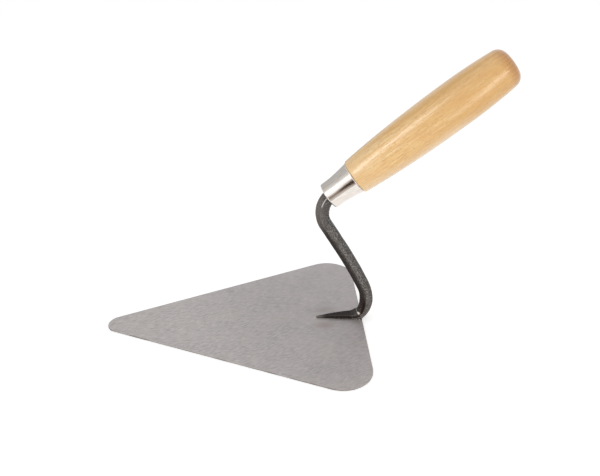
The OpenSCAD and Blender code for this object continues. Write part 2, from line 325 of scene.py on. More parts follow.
# %% Cards for the ferrule
card("white_card", aimed(46, 22, 0.9, FERRULE_MIDDLE), (0.61, 0.64), plain(1.3))
card("fading_card", aimed(6, 35, 0.88, FERRULE_MIDDLE), (0.80, 0.9),
     [[0.56, 0.57, 0.60, 0.65, 0.69, 0.74, 0.86, 1.04, 1.24]] * 2)
card("grey_card", aimed(-34, 37, 0.9, FERRULE_MIDDLE), (0.80, 0.9), plain(0.59))
card("near_grey_card", aimed(-74, -1, 0.12, FERRULE_MIDDLE), (0.11, 0.1), plain(0.56))

# The streak card is white at one edge, nearly black in the middle and beige at the other edge
small_end = [(-48, 1.25), (-33, 1.0), (-12, 0.5), (5, 0.29), (14, 0.3), (35, 0.5), (57, 0.65), (87, 0.78)]
middle = [(-49, 1.25), (-38, 1.05), (-33, 0.88), (-22, 0.36), (-12, 0.12), (-3, 0.05), (14, 0.05),
          (24, 0.16), (35, 0.38), (46, 0.57), (57, 0.67), (87, 0.8)]
big_end = [(-63, 1.25), (-44, 0.66), (-33, 0.34), (-22, 0.14), (-12, 0.05), (5, 0.02), (24, 0.04),
           (35, 0.14), (57, 0.54), (68, 0.68), (87, 0.76)]
small_end, middle, big_end = (graded(stops, 175, 28) for stops in (small_end, middle, big_end))
card("streak_card", aimed(72.6, -4.3, 0.15, FERRULE_MIDDLE, roll=-53), (0.175, 0.048),
     [big_end] * 3 + [middle] * 2 + [small_end] * 8, warmth=1)

# %% Two tall strips, soft at their edges, for the highlights on the lacquer
card("strip_card", aimed(41.5, 33.5, 0.87, GRIP_MIDDLE, roll=4), (0.26, 0.54),
     [[1, value, value, 1] for value in (7, 6.5, 5.5, 5.2, 4.8, 1.8)])
card("window_card", aimed(107.5, -1, 0.5, BUTT, roll=8), (0.16, 0.3),
     [[1, value, value, 1] for value in (2, 3.6, 4, 4.4)])

# %% [markdown]
# ## From a bmesh to a piece
#
# Each new piece ends in the same way: its faces are turned outwards, its mesh gets its material, and it
# replaces its CAD node and rides on the trowel's one body. Its object stays at the origin, because its place
# is already in its mesh.


# %% Hand a finished piece over
def hand_over(shape, name, node, finish, keep_normals=False):
    """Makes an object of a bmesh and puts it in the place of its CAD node."""
    if not keep_normals:
        bmesh.ops.recalc_face_normals(shape, faces=shape.faces)
    mesh = bpy.data.meshes.new(name)
    shape.to_mesh(mesh)
    shape.free()
    mesh.materials.append(finish)
    piece = bpy.data.objects.new(name, mesh)
    bpy.context.scene.collection.objects.link(piece)
    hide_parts(node)
    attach(piece, "root")
    print(name, "has", len(mesh.polygons), "faces")
    return piece


# %% [markdown]
# ## Ground steel
#
# The blade is punched out of sheet steel and ground with a belt, which leaves fine parallel scratches a
# little askew to its middle line. On top of them lie wider bands, cloudy patches and, beside the foot, the
# pinkish brown tint that the heat of welding leaves. The sheared edge was never ground and stays dark.
# Everything reads Object coordinates, turned so that the long side of each pattern follows the grinding.

# %% Ground steel: the scratches
ground_steel, tree, shader = new_finish("ground_steel")
GRINDING = (0, 0, math.radians(24))
bend = clouds(tree, coordinates(tree, (45 * MM, 45 * MM, 45 * MM)), detail=1)
straight = coordinates(tree, (MM, MM, MM), GRINDING)
sway = add(tree, "CombineXYZ", {"Y": product(tree, bend, 14)}).outputs[0]
swayed = add(tree, "VectorMath", {0: straight, 1: sway}, operation="ADD").outputs[0]
fine = add(tree, "Mapping", {"Vector": swayed, "Scale": (7, 0.3, 20)}, vector_type="TEXTURE").outputs[0]
coarse = add(tree, "Mapping", {"Vector": swayed, "Scale": (4.5, 0.9, 20)}, vector_type="TEXTURE").outputs[0]
scratches = clouds(tree, fine, detail=3, roughness=0.7)
strokes = clouds(tree, coarse, detail=3, roughness=0.7)
marks = sums(tree, "ADD", product(tree, scratches, 0.5), product(tree, strokes, 0.5))
steel = mix(tree, window(tree, marks, 0.38, 0.62), tone(157, 152, 151), tone(203, 198, 197))
place = millimetres(tree)
rearward = sums(tree, "ADD", place["X"], product(tree, place["Y"], 0.35))
steel = mix(tree, window(tree, rearward, 55, -95, 0, 0.35), steel, tone(188, 183, 182))
steel = mix(tree, window(tree, rearward, 55, -95), steel, (0.87, 0.87, 0.885, 1), how="MULTIPLY")
patches = clouds(tree, coordinates(tree, (24 * MM, 17 * MM, 20 * MM), GRINDING), detail=4)
steel = mix(tree, window(tree, patches, 0.35, 0.7, 0, 0.35), steel, tone(192, 186, 182))


# %% Ground steel: the heat tint, the dark edge and the relief
def spot(tree, x, y, size_x, size_y, strength):
    """A soft spot on the blade, strong in its middle."""
    local = coordinates(tree, (size_x * MM, size_y * MM, 1), start=(x * MM, y * MM, 0))
    reach = add(tree, "VectorMath", {0: local}, operation="LENGTH").outputs["Value"]
    return window(tree, reach, 0.1, 1, strength, 0)


heat = spot(tree, -63, 10, 12, 6.5, 0.75)
for measures in ((-86, 7.5, 6, 4, 0.5), (-64, -9.5, 13, 6, 0.6), (-86, -7.5, 6, 4, 0.5)):
    heat = sums(tree, "MAXIMUM", heat, spot(tree, *measures))
steel = mix(tree, heat, steel, tone(160, 149, 147))
facing = add(tree, "SeparateXYZ", {0: add(tree, "NewGeometry").outputs["Normal"]}).outputs["Z"]
wall = window(tree, sums(tree, "ABSOLUTE", facing), 0.3, 0.8, 1, 0)
sheared = mix(tree, window(tree, patches, 0.4, 0.6), tone(172, 166, 163), tone(138, 130, 126))
steel = mix(tree, wall, steel, sheared)
dullness = window(tree, marks, 0.3, 0.7, 0.5, 0.62)
wire(tree, shader, Base_Color=steel, Roughness=dullness, Normal=relief(tree, marks, 0.03 * MM, 0.5))
shader.inputs["Metallic"].default_value = 0.6

# %% [markdown]
# ## The blade
#
# The outline of the CAD blade is exact, but its edges are perfectly sharp. A real punched edge is broken by
# a touch of the file, and that thin bevel is what catches the light. A copy of the CAD mesh is merged, its
# loose triangles are dissolved into whole faces, and only the two rims are bevelled.

# %% Blade
BROKEN_EDGE = 0.16 * MM
blade = bmesh.new()
blade.from_mesh(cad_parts["blade"].data)
bmesh.ops.remove_doubles(blade, verts=blade.verts, dist=0.001 * MM)
bmesh.ops.dissolve_limit(blade, angle_limit=math.radians(0.5), verts=blade.verts, edges=blade.edges)
rims = [e for e in blade.edges if e.calc_face_angle(0) > math.radians(60)]
bmesh.ops.bevel(blade, geom=rims, offset=BROKEN_EDGE, offset_type="OFFSET", affect="EDGES", segments=2,
                profile=0.5, material=-1, clamp_overlap=True)
for face in blade.faces:
    face.smooth = abs(face.normal.z) < 0.99
hand_over(blade, "blade_ground", "blade", ground_steel)

# %% [markdown]
# ## The shank's plan
#
# A smith draws an octagonal bar down, flattens and points one end of it as the foot, bends it twice into the
# swan neck, and tapers the other end into a square tang for the grip. So the piece is one section carried
# along a line. These are the same measures as in the CAD model: first the line, then the section.

# %% The line of the neck
NECK_DEPTH = 9 * MM
NECK_HALF = 4.2 * MM
FRONT_HALF = 0.9 * MM
REAR_HALF = 1.9 * MM
CHAMFER = 2.95 * MM
HEEL_HEIGHT = 14.4 * MM
HEEL_BACK = 2.8 * MM
HEEL_RADIUS = 18.5 * MM
LOWER_RADIUS = 27 * MM
BOW_RADIUS = 350 * MM
STRAIGHT = 18.3 * MM
UPPER_RADIUS = 16.8 * MM
TANG = 78 * MM
TANG_SHOULDER = 6 * MM
TANG_ROOT_SIDE = 6.2 * MM
TANG_END_SIDE = 3 * MM
TANG_CORNER = 0.06
UPRIGHT_SLOPE = math.radians(90)
LOWER_SLOPE = math.radians(65)
NECK_SLOPE = math.radians(59)
upright = Vector((REAR - HEEL_BACK, 0, SHEET + HEEL_HEIGHT))


def bent(start, slope, radius, turn):
    """The end of a bend that turns the slope to the left by turn, or to the right with both below 0."""
    return start + (left_of(slope) - left_of(slope + turn)) * radius


lower_top = bent(upright, UPRIGHT_SLOPE, -LOWER_RADIUS, LOWER_SLOPE - UPRIGHT_SLOPE)
bow_top = bent(lower_top, LOWER_SLOPE, -BOW_RADIUS, NECK_SLOPE - LOWER_SLOPE)
straight_top = bow_top + along(NECK_SLOPE) * STRAIGHT
tang_root = bent(straight_top, NECK_SLOPE, UPPER_RADIUS, HANDLE_SLOPE - NECK_SLOPE)
print("the bend ends", round((tang_root - FERRULE_START).dot(AXIS) / MM, 2), "mm inside the ferrule")


# %% The section at any place of the line
def section(front, rear, half, front_half, front_run, rear_half, rear_run):
    """Eight corners: a narrow front face, two sides with chamfers on both edges, and a rear face."""
    inward = (rear - front).normalized()
    depth = (rear - front).length
    plan = ((0, front_half), (front_run, half), (depth - rear_run, half), (depth, rear_half))
    left = [front + inward * d + Vector((0, y, 0)) for d, y in plan]
    right = [front + inward * d - Vector((0, y, 0)) for d, y in reversed(plan)]
    return left + right


def neck_section(place, slope):
    reach = left_of(slope) * NECK_DEPTH / 2
    return section(place - reach, place + reach, NECK_HALF, FRONT_HALF, CHAMFER, REAR_HALF, CHAMFER)


def tang_section(place, side):
    reach = left_of(HANDLE_SLOPE) * side / 2
    corner = side * TANG_CORNER
    flat = side / 2 - corner
    return section(place - reach, place + reach, side / 2, flat, corner, flat, corner)


# %% [markdown]
# The heel needs more care. Its front line runs round the lower bend and then round a small hollow until it
# lies level on the foot, and its rear line turns in under the neck to the blade's edge. On the way the
# narrow front face spreads out into the flat top of the foot.

# %% The line and the section of the foot and heel
FOOT = 32.5 * MM
FOOT_ROOT = 3.1 * MM
FOOT_POINT = 0.9 * MM
FOOT_TAPER = 2.7 * MM
POINT_HALF = 0.6 * MM
POINT_ROUND = 1.2 * MM
POINT_BLUNT = 0.35
TOP_BEVEL = 0.25 * MM
SOLE_BEVEL = 0.05 * MM
HOLLOW = 5.6 * MM

# How far down and up the foot's bevels reach, and how far the heel's, as shares of the depth there
TOP_DROP, SOLE_RISE = 0.3, 0.1
FRONT_SHARE, REAR_SHARE = 0.6, 0.35

# Slopes of the front line, in degrees: where the rear line meets the sheet, and where the section starts
# to spread, has its whole front face and has its whole rear face
REAR_DOWN = 130
SPREAD_START, FRONT_SPREAD, REAR_SPREAD = 100, 142, 160

bend_centre = upright - left_of(UPRIGHT_SLOPE) * LOWER_RADIUS
front_radius = LOWER_RADIUS - NECK_DEPTH / 2
foot_level = SHEET + FOOT_ROOT
hollow_start = math.acos((foot_level + HOLLOW - bend_centre.z) / (front_radius - HOLLOW))
hollow_centre = bend_centre + left_of(hollow_start) * (front_radius - HOLLOW)
hollow_end = hollow_centre + left_of(math.pi) * HOLLOW
heel_centre = upright + left_of(UPRIGHT_SLOPE) * (NECK_DEPTH / 2 - HEEL_RADIUS)
heel_turn = math.asin(HEEL_HEIGHT / HEEL_RADIUS)
foot_point = Vector((REAR + FOOT, 0, SHEET))


def ramp(value, low, high):
    return min(1, max(0, (value - low) / (high - low)))


def foot_half(x):
    """Half the width of the foot at the place x on the blade."""
    rate = (NECK_HALF - POINT_HALF) / (FOOT - FOOT_TAPER)
    return min(NECK_HALF, POINT_HALF + (foot_point.x - x) * rate)


def foot_section(front, rear, half):
    depth = (rear - front).length
    top_half = half - min(TOP_BEVEL, half / 2)
    return section(front, rear, half, top_half, depth * TOP_DROP, half - SOLE_BEVEL, depth * SOLE_RISE)


def spike_section(x):
    """The foot in front of the hollow, thinner and narrower towards its point."""
    share = (x - hollow_end.x) / (foot_point.x - hollow_end.x)
    left_over = min(1, (foot_point.x - x) / POINT_ROUND)
    blunt = between(POINT_BLUNT, 1, math.sqrt(1 - (1 - left_over) ** 2))
    top = foot_level - (FOOT_ROOT - FOOT_POINT) * share ** 2
    return foot_section(Vector((x, 0, top)), Vector((x, 0, SHEET)), foot_half(x) * blunt)


def heel_section(slope):
    """The heel where its front line has this slope, from 90 degrees in the neck to 180 on the foot."""
    degrees = math.degrees(slope)
    heel_end = heel_centre + left_of(UPRIGHT_SLOPE + heel_turn) * HEEL_RADIUS
    if slope < hollow_start:
        front = bend_centre + left_of(slope) * front_radius
    else:
        front = hollow_centre + left_of(slope) * HOLLOW
    if degrees < REAR_DOWN:
        turn = heel_turn * ramp(degrees, 90, REAR_DOWN)
        rear = heel_centre + left_of(UPRIGHT_SLOPE + turn) * HEEL_RADIUS
    else:
        rear = between(heel_end, Vector((hollow_end.x, 0, SHEET)), ramp(degrees, REAR_DOWN, 180))
    depth = (rear - front).length
    half = foot_half(rear.x)
    share = ramp(degrees, SPREAD_START, 180)
    front_half = between(FRONT_HALF, half - TOP_BEVEL, ramp(degrees, SPREAD_START, FRONT_SPREAD))
    rear_half = between(REAR_HALF, half - SOLE_BEVEL, ramp(degrees, SPREAD_START, REAR_SPREAD))
    front_run = min(CHAMFER, depth * FRONT_SHARE)
    rear_run = min(between(CHAMFER, depth * SOLE_RISE, share), depth * REAR_SHARE)
    return section(front, rear, between(NECK_HALF, half, share), front_half, front_run, rear_half, rear_run)


# %% [markdown]
# ## Forging the shank
#
# The first section is the foot's point. From there the open end is extruded to the next section, over and
# over, up to the end of the tang. Then the eight ridges are bevelled, because a hammer never leaves them
# sharp, and the whole skin is moved in and out a little, as hammer blows and flaking scale leave it.

# %% All sections from the foot's point to the tang's end
SPIKE_STEPS, HEEL_STEPS, LOWER_STEPS, BOW_STEPS, STRAIGHT_STEPS, UPPER_STEPS = 16, 36, 12, 26, 12, 30


def bend_sections(start, slope, radius, whole_turn, steps, count):
    """The first sections of a bend that makes a whole turn in this many steps."""
    turns = [whole_turn * i / steps for i in range(count)]
    return [neck_section(bent(start, slope, radius, turn), slope + turn) for turn in turns]


stations = [spike_section(foot_point.x - POINT_ROUND * share) for share in (0, 0.1, 0.3, 0.6, 1)]
spike_start = foot_point.x - POINT_ROUND
for i in range(1, SPIKE_STEPS):
    stations.append(spike_section(between(spike_start, hollow_end.x, i / SPIKE_STEPS)))
FIRST_HEEL = len(stations)
stations += [heel_section(between(math.pi, UPRIGHT_SLOPE, i / HEEL_STEPS)) for i in range(HEEL_STEPS)]
FIRST_NECK = len(stations)
lower_turn = LOWER_SLOPE - UPRIGHT_SLOPE
bow_turn = NECK_SLOPE - LOWER_SLOPE
upper_turn = HANDLE_SLOPE - NECK_SLOPE
stations += bend_sections(upright, UPRIGHT_SLOPE, -LOWER_RADIUS, lower_turn, LOWER_STEPS, LOWER_STEPS)
stations += bend_sections(lower_top, LOWER_SLOPE, -BOW_RADIUS, bow_turn, BOW_STEPS, BOW_STEPS)
for i in range(STRAIGHT_STEPS):
    stations.append(neck_section(bow_top + along(NECK_SLOPE) * STRAIGHT * i / STRAIGHT_STEPS, NECK_SLOPE))
FIRST_UPPER = len(stations)
stations += bend_sections(straight_top, NECK_SLOPE, UPPER_RADIUS, upper_turn, UPPER_STEPS, UPPER_STEPS + 1)
stations.append(tang_section(tang_root + AXIS * TANG_SHOULDER, TANG_ROOT_SIDE))
stations.append(tang_section(tang_root + AXIS * TANG, TANG_END_SIDE))
print("the shank has", len(stations), "sections")

# %% Extrude from section to section
shank = bmesh.new()
LAYERS = ("wear_and_highlight", "rust", "sharp", "flank", "front", "foot", "lit", "front_strip_shade")
layers = [shank.verts.layers.float.new(name) for name in LAYERS]
wear_and_highlight, rust, sharp, flank, front_shade_layer, foot, lit, front_strip_shade = layers
ring = [shank.verts.new(place) for place in stations[0]]
rings = [ring]
for i in range(8):
    shank.edges.new((ring[i], ring[(i + 1) % 8]))
for places in stations[1:]:
    open_edges = [shank.edges.get((ring[i], ring[(i + 1) % 8])) for i in range(8)]
    made = set(bmesh.ops.extrude_edge_only(shank, edges=open_edges)["geom"])
    ring = [next(e.other_vert(v) for e in v.link_edges if e.other_vert(v) in made) for v in ring]
    for vert, place in zip(ring, places):
        vert.co = place
    rings.append(ring)

# %% Note worn ridges and their painted highlight, old rust, the painted glint in the hollow, and painted shade
# A mark grows from the first section number of its ramp to the second, where it is full
FRONT_RIDGES = (1, 6)
FRONT_EDGES = (0, 7)
REAR_RIDGES = (2, 5)
for number, ring in enumerate(rings):
    from_heel = number - FIRST_HEEL
    into_bend = ramp(number, FIRST_UPPER + 6, FIRST_UPPER + 18)
    into_heel = min(ramp(from_heel, -8, 0), ramp(number, FIRST_NECK + 14, FIRST_NECK - 2))
    in_hollow = min(ramp(from_heel, 18, 21), ramp(from_heel, 26, 23))
    behind = min(ramp(from_heel, 8, 13), ramp(from_heel, 27, 22))
    for vert in ring:
        vert[foot] = ramp(from_heel, 12, 0)
    # The front corners mark the strip of each flank beside the front, which gets painted shade
    for corner in FRONT_EDGES + FRONT_RIDGES:
        ring[corner][front_strip_shade] = ramp(from_heel, 0, 8)
    # The rear ridges behind the heel get a painted highlight; the front ridges are worn bright up the bend,
    # partly painted highlight
    for corner in REAR_RIDGES:
        ring[corner][wear_and_highlight] = behind * 0.95
    for corner in FRONT_RIDGES:
        ring[corner][wear_and_highlight] = into_bend
        ring[corner][rust] = into_heel
        # lit marks where a glint is painted in the hollow
        ring[corner][lit] = in_hollow
    for corner in FRONT_EDGES:
        ring[corner][lit] = in_hollow * 0.6

# %% Bevel the ridges and close the ends
across = [shank.edges.get((r[i], r[(i + 1) % 8])) for r in rings for i in range(8)]
bmesh.ops.subdivide_edges(shank, edges=across, cuts=2, use_grid_fill=True)
ridges = [e for e in shank.edges if e.calc_face_angle(0) > math.radians(14)]
bmesh.ops.bevel(shank, geom=ridges, offset=30, offset_type="PERCENT", affect="EDGES", segments=3,
                profile=0.5, material=-1, clamp_overlap=True)
bmesh.ops.holes_fill(shank, edges=[e for e in shank.edges if e.is_boundary], sides=0)
bmesh.ops.recalc_face_normals(shank, faces=shank.faces)
print("the shank has", len(ridges), "ridge edges")

# %% Hammer marks, and how sharp the skin is at each point and how far it faces sideways
HAMMER = ((5.5 * MM, 0.10 * MM), (1.7 * MM, 0.05 * MM))
in_ferrule = (FERRULE_START + AXIS * 2 * MM).dot(AXIS)
shank.normal_update()
blows = {}
for vert in shank.verts:
    above_sheet = ramp(vert.co.z, SHEET, SHEET + 0.8 * MM)
    free = above_sheet * ramp(vert.co.dot(AXIS), in_ferrule, in_ferrule - 2 * MM)
    depth = sum(noise.noise(vert.co / size) * deep for size, deep in HAMMER)
    blows[vert] = vert.normal * depth * free
for vert, move in blows.items():
    vert.co += move
for vert in shank.verts:
    angles = [e.calc_face_angle_signed(0) for e in vert.link_edges]
    vert[sharp] = sum(angles) / max(1, len(angles))
    # How far a point faces sideways and to the front decides where light and shade are painted
    vert[flank] = abs(vert.normal.y)
    vert[front_shade_layer] = max(0, vert.normal.x) * between(0.6, 1, ramp(vert.co.z, 84 * MM, 74 * MM))
for face in shank.faces:
    face.smooth = True

# %% [markdown]
# ## Forging scale
#
# Hot steel grows a skin of black oxide. It is dark grey with a slight sheen, speckled where it flaked, brown
# in sheltered corners, and polished on ridges that rub against something. Some light and shade is painted
# into its colour as well: faces turned sideways are painted lighter, faces turned to the front and the strip
# of each flank next to the front are painted darker, worn ridges carry a painted highlight, some bright
# speckles are painted glints, and a glint is painted in the hollow. The mesh carries values for all this:
# how sharp each point is, how far it faces sideways and to the front, that strip beside the front, where a
# ridge is worn bright, where old rust sits, where the glint in the hollow is painted, and how near the point
# is to the foot, which stays darkest.


# %% Forged steel
def measured(tree, name):
    """A value that the mesh carries at each of its points."""
    return add(tree, "Attribute", attribute_name=name, attribute_type="GEOMETRY").outputs["Fac"]


forged_steel, tree, shader = new_finish("forged_steel")
flakes = clouds(tree, coordinates(tree, (0.8 * MM, 0.8 * MM, 0.8 * MM)), detail=5, roughness=0.75)
stains = clouds(tree, coordinates(tree, (5 * MM, 5 * MM, 5 * MM)), detail=3)
pits = clouds(tree, coordinates(tree, (0.35 * MM, 0.35 * MM, 0.35 * MM)), detail=2)
# Painted light and shade: faces turned sideways are painted lighter, the others darker
sides = window(tree, measured(tree, "flank"), 0.62, 0.97)
scale = mix(tree, sides, tone(52, 49, 48), tone(108, 104, 100))
place = millimetres(tree)
height = place["Z"]
scale = mix(tree, window(tree, height, 70, 82, 0, 0.8), scale, tone(60, 57, 56))
skin = mix(tree, window(tree, flakes, 0.4, 0.51, 0.85, 0), scale, tone(36, 33, 31))
# Bright flakes: partly bare metal and partly painted glints
skin = mix(tree, window(tree, flakes, 0.53, 0.62, 0, 0.9), skin, tone(164, 158, 153))
# Painted shade: faces turned to the front, and the strip of each flank beside them, are painted darker
front_shade = window(tree, measured(tree, "front"), 0.25, 0.6)
strip_shade = window(tree, measured(tree, "front_strip_shade"), 0.56, 0.76)
strip_shade = product(tree, strip_shade, window(tree, height, 60, 74, 0.9, 0))
front_shade = sums(tree, "MAXIMUM", front_shade, strip_shade)
skin = mix(tree, product(tree, front_shade, window(tree, height, 66, 80, 0.7, 0.2)), skin, tone(48, 43, 40))
skin = mix(tree, window(tree, stains, 0.42, 0.7, 0, 0.5), skin, tone(66, 55, 49))
skin = mix(tree, product(tree, measured(tree, "foot"), 0.9), skin, tone(33, 26, 22))
at_point = window(tree, place["X"], -65, -59)
skin = mix(tree, product(tree, at_point, 0.5), skin, tone(128, 121, 116))
skin = mix(tree, window(tree, measured(tree, "sharp"), 0.05, 0.3, 0, 0.35), skin, tone(134, 128, 124))
# A painted glint: a bright patch in the hollow
painted_glint = product(tree, window(tree, measured(tree, "lit"), 0.5, 0.8), window(tree, pits, 0.2, 0.4))
skin = mix(tree, painted_glint, skin, tone(222, 212, 200))
skin = mix(tree, window(tree, measured(tree, "rust"), 0.5, 0.9, 0, 0.95), skin, tone(36, 20, 15))
# Ridges worn bright: partly wear and partly a painted highlight
skin = mix(tree, window(tree, measured(tree, "wear_and_highlight"), 0.86, 0.98, 0, 0.9), skin, tone(215, 210, 205))
dullness = window(tree, flakes, 0.35, 0.65, 0.36, 0.55)
bumps = sums(tree, "ADD", flakes, product(tree, pits, 0.3))
wire(tree, shader, Base_Color=skin, Roughness=dullness, Normal=relief(tree, bumps, 0.14 * MM, 0.8))
dark_parts = sums(tree, "MAXIMUM", front_shade, measured(tree, "foot"))
wire(tree, shader, Specular_IOR_Level=window(tree, dark_parts, 0, 1, 0.36, 0.12))
shader.inputs["Metallic"].default_value = 0.25
hand_over(shank, "shank_forged", "shank", forged_steel)

# %% [markdown]
# ## The weld
#
# Two short seams hold the foot. A hand-welded seam is a row of small overlapping puddles, so flattened
# spheres are set one after another down each flank and then melted into one skin with a voxel Remesh.

# %% Weld seams
WELD_START = 0.6 * MM
WELD_END = 21.2 * MM
BEAD_STEP = 1.25 * MM
BEAD_LIFT = 0.1 * MM
draw = random.Random(4)
seams = bmesh.new()
for side in (1, -1):
    reach = WELD_START
    while reach < WELD_END:
        x = REAR + reach
        size = draw.uniform(0.5, 0.7) * MM
        bead = bmesh.ops.create_icosphere(seams, subdivisions=3, radius=1)["verts"]
        place = Vector((x, side * (foot_half(x) - BEAD_LIFT), SHEET + BEAD_LIFT))
        bmesh.ops.scale(seams, vec=(size * 1.25, size, size * draw.uniform(0.8, 1.0)), verts=bead)
        bmesh.ops.translate(seams, vec=place, verts=bead)
        reach += BEAD_STEP * draw.uniform(0.85, 1.15)

# %% Weld metal
weld_metal, tree, shader = new_finish("weld_metal")
skin = clouds(tree, coordinates(tree, (0.8 * MM, 0.8 * MM, 0.8 * MM)), detail=3)
place = millimetres(tree)
# Painted glints on the beads' tops and near the rear end of the seam
bead_glint = sums(tree, "MAXIMUM", window(tree, place["Z"], 1.5, 2.0), window(tree, place["X"], -82, -84))
puddle = mix(tree, window(tree, skin, 0.35, 0.65), tone(44, 36, 32), tone(84, 75, 70))
puddle = mix(tree, product(tree, bead_glint, window(tree, skin, 0.5, 0.62)), puddle, tone(190, 184, 180))
wire(tree, shader, Base_Color=puddle, Normal=relief(tree, skin, 0.08 * MM, 0.7))
shader.inputs["Metallic"].default_value = 0.8
shader.inputs["Roughness"].default_value = 0.34

# %% Melt the puddles into one skin
weld = hand_over(seams, "weld_beads", "weld", weld_metal)
melt = weld.modifiers.new("melt", "REMESH")
melt.mode = "VOXEL"
melt.voxel_size = 0.14 * MM
melt.use_smooth_shade = True
soften = weld.modifiers.new("soften", "SMOOTH")
soften.iterations = 2

# %% [markdown]
# ## The ferrule
#
# The ferrule is drawn from thin sheet steel and nickel-plated: a short straight collar with a rounded edge,
# then a flare that ends in a thin lip against the wood. It is a profile spun round the grip's axis. Its
# inner wall is part of the profile, so the sheet has its real thickness.

# %% Profiles are points at a radius and a distance along the axis
SPIN_STEPS = 144


def arc(centre, radius, first_angle, last_angle, steps):
    """Points of an arc in a profile, with angles in degrees."""
    turns = [math.radians(between(first_angle, last_angle, i / steps)) for i in range(steps + 1)]
    return [(centre[0] + radius * math.cos(a), centre[1] + radius * math.sin(a)) for a in turns]


def turned(profile, closed):
    """Spins a profile, given in millimetres, round the grip's axis."""
    shape = bmesh.new()
    points = [shape.verts.new((radius * MM, 0, reach * MM)) for radius, reach in profile]
    for one, two in zip(points, points[1:]):
        shape.edges.new((one, two))
    if closed:
        shape.edges.new((points[-1], points[0]))
    bmesh.ops.spin(shape, geom=shape.verts[:] + shape.edges[:], cent=(0, 0, 0), axis=(0, 0, 1),
                   angle=2 * math.pi, steps=SPIN_STEPS, use_merge=True)
    bmesh.ops.remove_doubles(shape, verts=shape.verts, dist=0.001 * MM)
    bmesh.ops.transform(shape, matrix=HANDLE_PLACE, verts=shape.verts)
    bmesh.ops.recalc_face_normals(shape, faces=shape.faces)
    for face in shape.faces:
        face.smooth = True
    return shape


# %% Ferrule
FERRULE = 21.5
WALL = 0.9
COLLAR_R = 9.2
COLLAR = 4.5
MOUTH_R = 11.1
HOLE_R = 6.4
EDGE_R = 1.0
LIP = 0.3
CORNER_R = 0.2
CREASE = 0.01
FLARE_POWER = 1.6
FLARE_STEPS = 28


def ferrule_radius(reach):
    if reach <= COLLAR:
        return COLLAR_R
    return COLLAR_R + (MOUTH_R - COLLAR_R) * ((reach - COLLAR) / (FERRULE - COLLAR)) ** FLARE_POWER


# From the edge of the hole round the collar, over a faint crease and along the flare to the lip, and back
flare = [between(COLLAR + 0.4, FERRULE - 2 * LIP, i / FLARE_STEPS) for i in range(FLARE_STEPS + 1)]
flare.insert(-1, flare[-1] - 0.05)
outside = arc((HOLE_R + CORNER_R, CORNER_R), CORNER_R, 180, 270, 3)
outside += arc((COLLAR_R - EDGE_R, EDGE_R), EDGE_R, -90, 0, 10)
outside += [(COLLAR_R, COLLAR - 0.35), (COLLAR_R + CREASE, COLLAR - 0.1), (COLLAR_R + CREASE, COLLAR + 0.1)]
outside += [(ferrule_radius(s), s) for s in flare]
outside += arc((ferrule_radius(FERRULE) - LIP + 0.06, FERRULE - LIP), LIP, -35, 100, 9)
inside = [(ferrule_radius(s) - WALL, s) for s in reversed(flare)]
inner_r = COLLAR_R - WALL
inside += [(inner_r, COLLAR), (inner_r, WALL + CORNER_R), (inner_r - CORNER_R, WALL), (HOLE_R, WALL)]
ferrule = turned(outside + inside, closed=True)

# %% [markdown]
# Nickel is a warm white metal. Drawing leaves very fine lines along the axis, handling leaves faint smears,
# and a little brown collects round the small end. Most of its look comes from the studio that it mirrors.

# %% Plated steel
plated_steel, tree, shader = new_finish("plated_steel")
TO_AXIS = {"turn": (0, -HANDLE_TURN, 0), "start": tuple(FERRULE_START)}
lines = clouds(tree, coordinates(tree, (0.5 * MM, 0.5 * MM, 14 * MM), **TO_AXIS), detail=3)
smears = clouds(tree, coordinates(tree, (4 * MM, 4 * MM, 7 * MM), **TO_AXIS), detail=3)
reach = millimetres(tree, **TO_AXIS)["Z"]
plate = mix(tree, window(tree, lines, 0.35, 0.65), tone(222, 214, 206), tone(236, 230, 223))
soiled = product(tree, window(tree, reach, 0.0, 1.6, 1, 0), window(tree, smears, 0.4, 0.7, 0, 0.5))
plate = mix(tree, soiled, plate, tone(170, 150, 132))
dullness = window(tree, smears, 0.3, 0.7, 0.07, 0.12)
wire(tree, shader, Base_Color=plate, Roughness=dullness, Normal=relief(tree, lines, 0.0015 * MM, 0.5))
shader.inputs["Metallic"].default_value = 1
hand_over(ferrule, "ferrule_plated", "ferrule", plated_steel, keep_normals=True)

# %% [markdown]
# ## The grip
#
# The grip is turned from beech on a lathe, so it is a profile spun round its axis too. It swells towards the
# palm, thins again and ends in a rounded butt. A spigot fits in the ferrule, and the tang sits in a hole.

# %% Grip
GRIP = 117.2
FRONT_R = 11.95
BELLY_R = 15.0
BELLY_AT = 68.5
BUTT_R = 12.3
BUTT_EDGE = 7.0
DOME = 0.7
FRONT_EDGE = 0.7
FRONT_POWER = 2.1
REAR_POWER = 2.5
SPIGOT_START = 1.0
SPIGOT_GAP = 0.1
SHOULDER = FERRULE + SPIGOT_GAP
SIDE_STEPS = 80
DOME_STEPS = 8
butt_end = FERRULE + GRIP
belly = FERRULE + BELLY_AT


def grip_radius(reach):
    if reach < belly:
        return BELLY_R - (BELLY_R - FRONT_R) * ((belly - reach) / BELLY_AT) ** FRONT_POWER
    return BELLY_R - (BELLY_R - BUTT_R) * ((reach - belly) / (butt_end - belly)) ** REAR_POWER


# The rounded edge of the butt starts where it leans in as far as the side does there
edge_start = butt_end - BUTT_EDGE
lean = math.degrees(math.atan(grip_radius(edge_start - 0.5) - grip_radius(edge_start + 0.5)))
side_end = butt_end - BUTT_EDGE * (1 - math.sin(math.radians(lean)))
butt_centre = (grip_radius(side_end) - BUTT_EDGE * math.cos(math.radians(lean)), edge_start)

